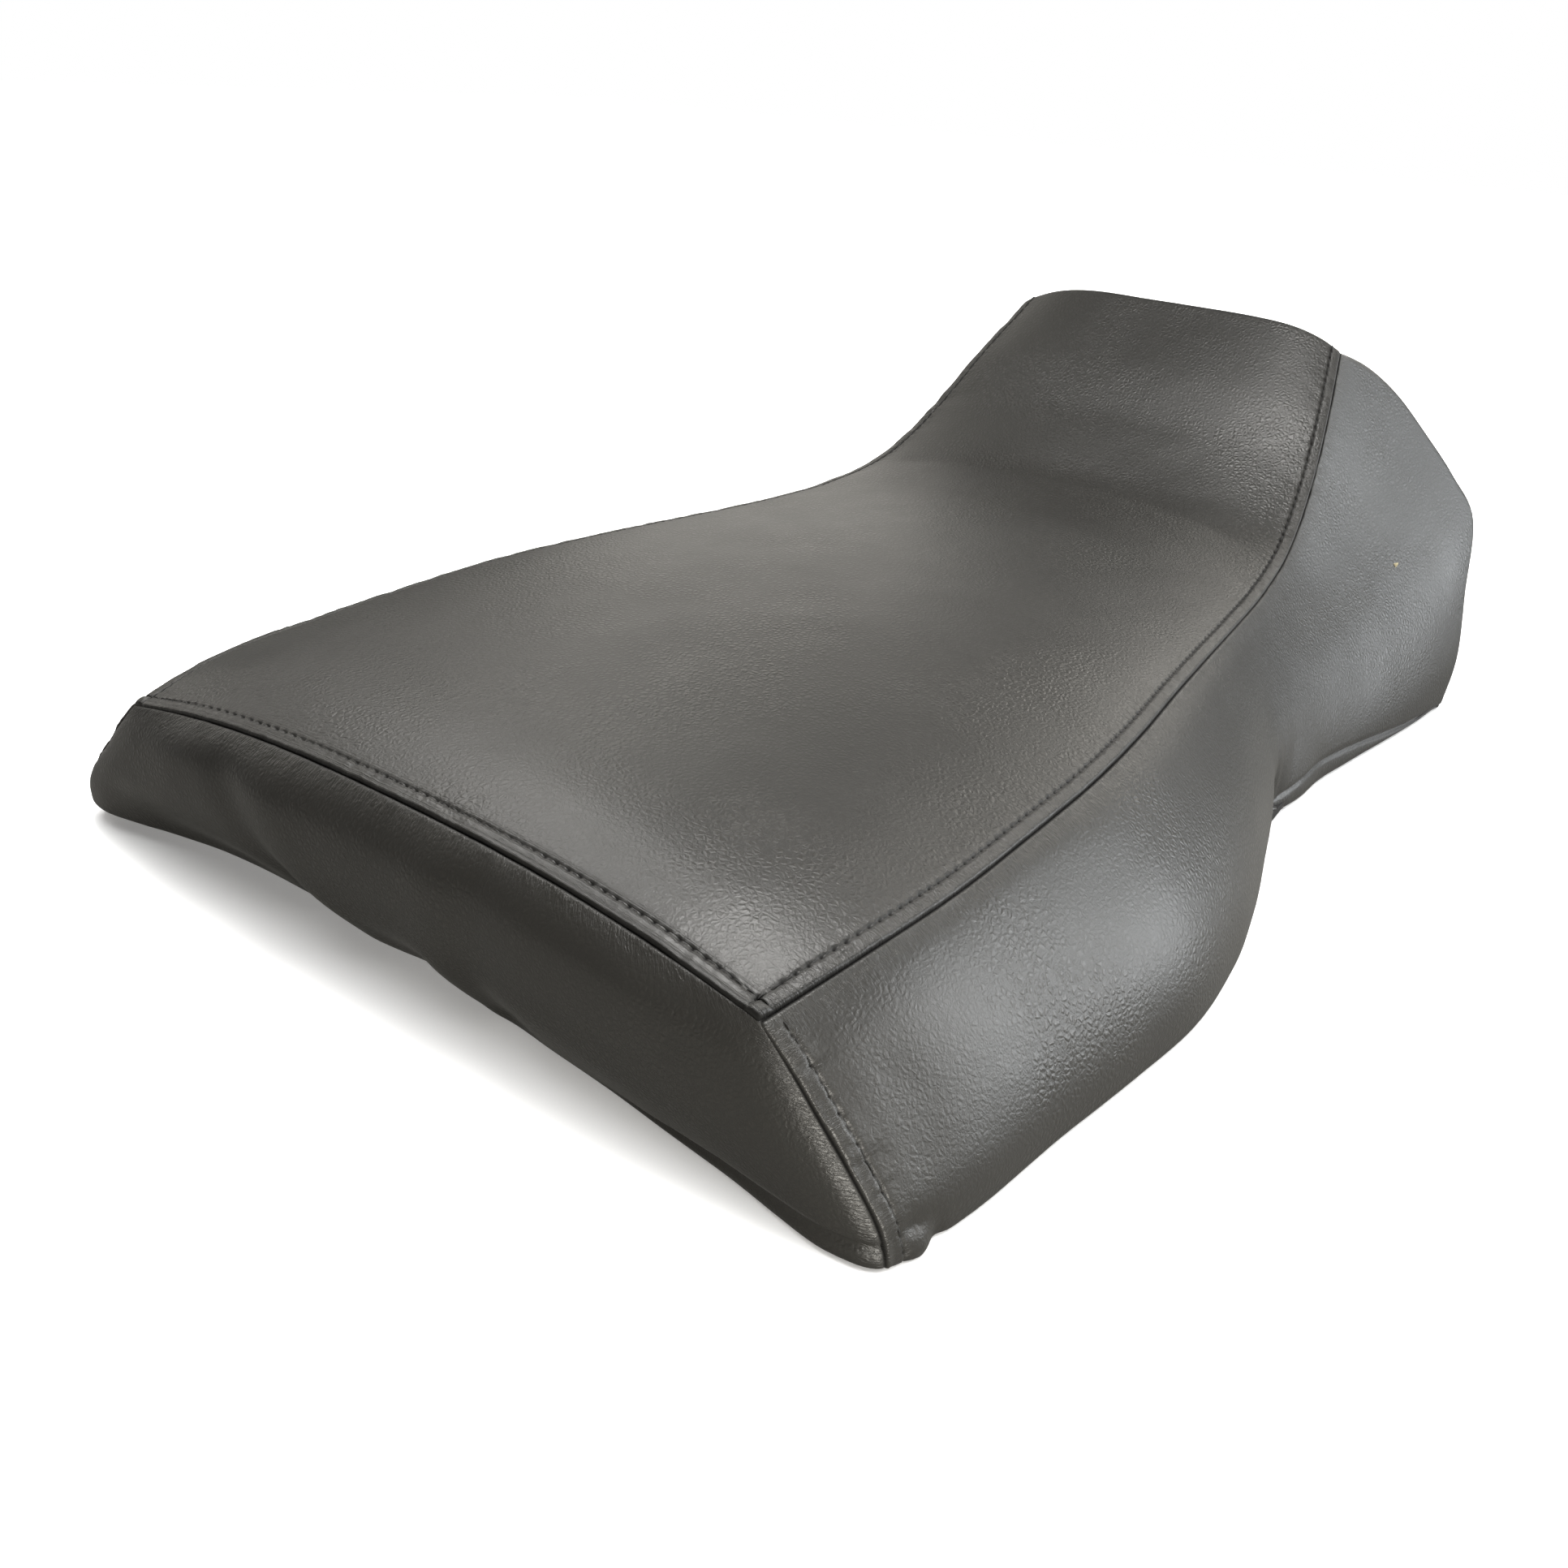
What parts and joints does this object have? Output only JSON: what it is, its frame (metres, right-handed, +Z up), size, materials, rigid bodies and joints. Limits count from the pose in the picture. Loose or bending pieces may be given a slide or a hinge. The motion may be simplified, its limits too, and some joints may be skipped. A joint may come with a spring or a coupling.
{
  "type": "motorcycle seat",
  "caption": "Straddle seat with sewn grained vinyl cover over foam on a moulded pan, flared raised nose, front tongues, rubber bumpers and a sprung hand-released rear latch.",
  "frame": {"origin": "on the resting plane, at the middle of the overall length and width", "axes": "+X the rider's right, +Y forward from tail to nose, +Z up"},
  "size_m": [0.4302, 0.6118, 0.1922],
  "materials": {
    "vinyl": "satin pebble-grained black vinyl leathercloth",
    "foam": "moulded polyurethane foam, matte, open skin",
    "thread": "black bonded polyester thread",
    "pan_plastic": "injection-moulded black polypropylene, fine texture",
    "staple_steel": "galvanised wire",
    "bumper_rubber": "moulded black rubber, matte",
    "insert_brass": "knurled brass, machined",
    "zinc_hardware": "zinc-plated steel, clear passivated",
    "bare_steel": "oiled steel",
    "grip_plastic": "moulded black plastic"
  },
  "bodies": {
    "seat": {"foam_cushion": "foam", "cover_side_panel_left": "vinyl", "cover_tail_panel": "vinyl", "cover_top_panel": "vinyl", "cover_side_panel_right": "vinyl", "seat_pan": "pan_plastic", "staple_01": "staple_steel", "staple_02": "staple_steel", "staple_03": "staple_steel", "staple_04": "staple_steel", "staple_05": "staple_steel", "staple_06": "staple_steel", "staple_07": "staple_steel", "staple_08": "staple_steel", "staple_09": "staple_steel", "staple_10": "staple_steel", "staple_11": "staple_steel", "staple_12": "staple_steel", "staple_13": "staple_steel", "staple_14": "staple_steel", "topstitch_right": "thread", "corner_stitch_right": "thread", "topstitch_left": "thread", "corner_stitch_left": "thread", "topstitch_tail": "thread", "rubber_bumper_tail_right": "bumper_rubber", "rubber_bumper_tail_left": "bumper_rubber", "rubber_bumper_mid_right": "bumper_rubber", "rubber_bumper_mid_left": "bumper_rubber", "rubber_bumper_front_right": "bumper_rubber", "rubber_bumper_front_left": "bumper_rubber", "tongue_screw_right_rear": "zinc_hardware", "tongue_insert_right_rear": "insert_brass", "tongue_screw_right_front": "zinc_hardware", "tongue_insert_right_front": "insert_brass", "front_tongue_right": "bare_steel", "tongue_screw_left_rear": "zinc_hardware", "tongue_insert_left_rear": "insert_brass", "tongue_screw_left_front": "zinc_hardware", "tongue_insert_left_front": "insert_brass", "front_tongue_left": "bare_steel", "latch_bracket": "zinc_hardware", "latch_screw_rear_left": "zinc_hardware", "latch_insert_rear_left": "insert_brass", "latch_screw_rear_right": "zinc_hardware", "latch_insert_rear_right": "insert_brass", "latch_screw_front_left": "zinc_hardware", "latch_insert_front_left": "insert_brass", "latch_screw_front_right": "zinc_hardware", "latch_insert_front_right": "insert_brass", "latch_pivot_bolt": "bare_steel", "latch_lock_nut": "zinc_hardware", "latch_return_spring": "bare_steel"},
    "latch": {"latch_plate": "zinc_hardware", "latch_lever_grip": "grip_plastic"}
  },
  "joints": [
    {"name": "latch_release", "type": "hinge", "parent": "seat", "child": "latch", "pos_m": [0, -0.18111, 0.0089], "axis": [0, 0, -1], "range_deg": [0, 25], "stiffness_Nm_per_rad": 0.4}
  ]
}
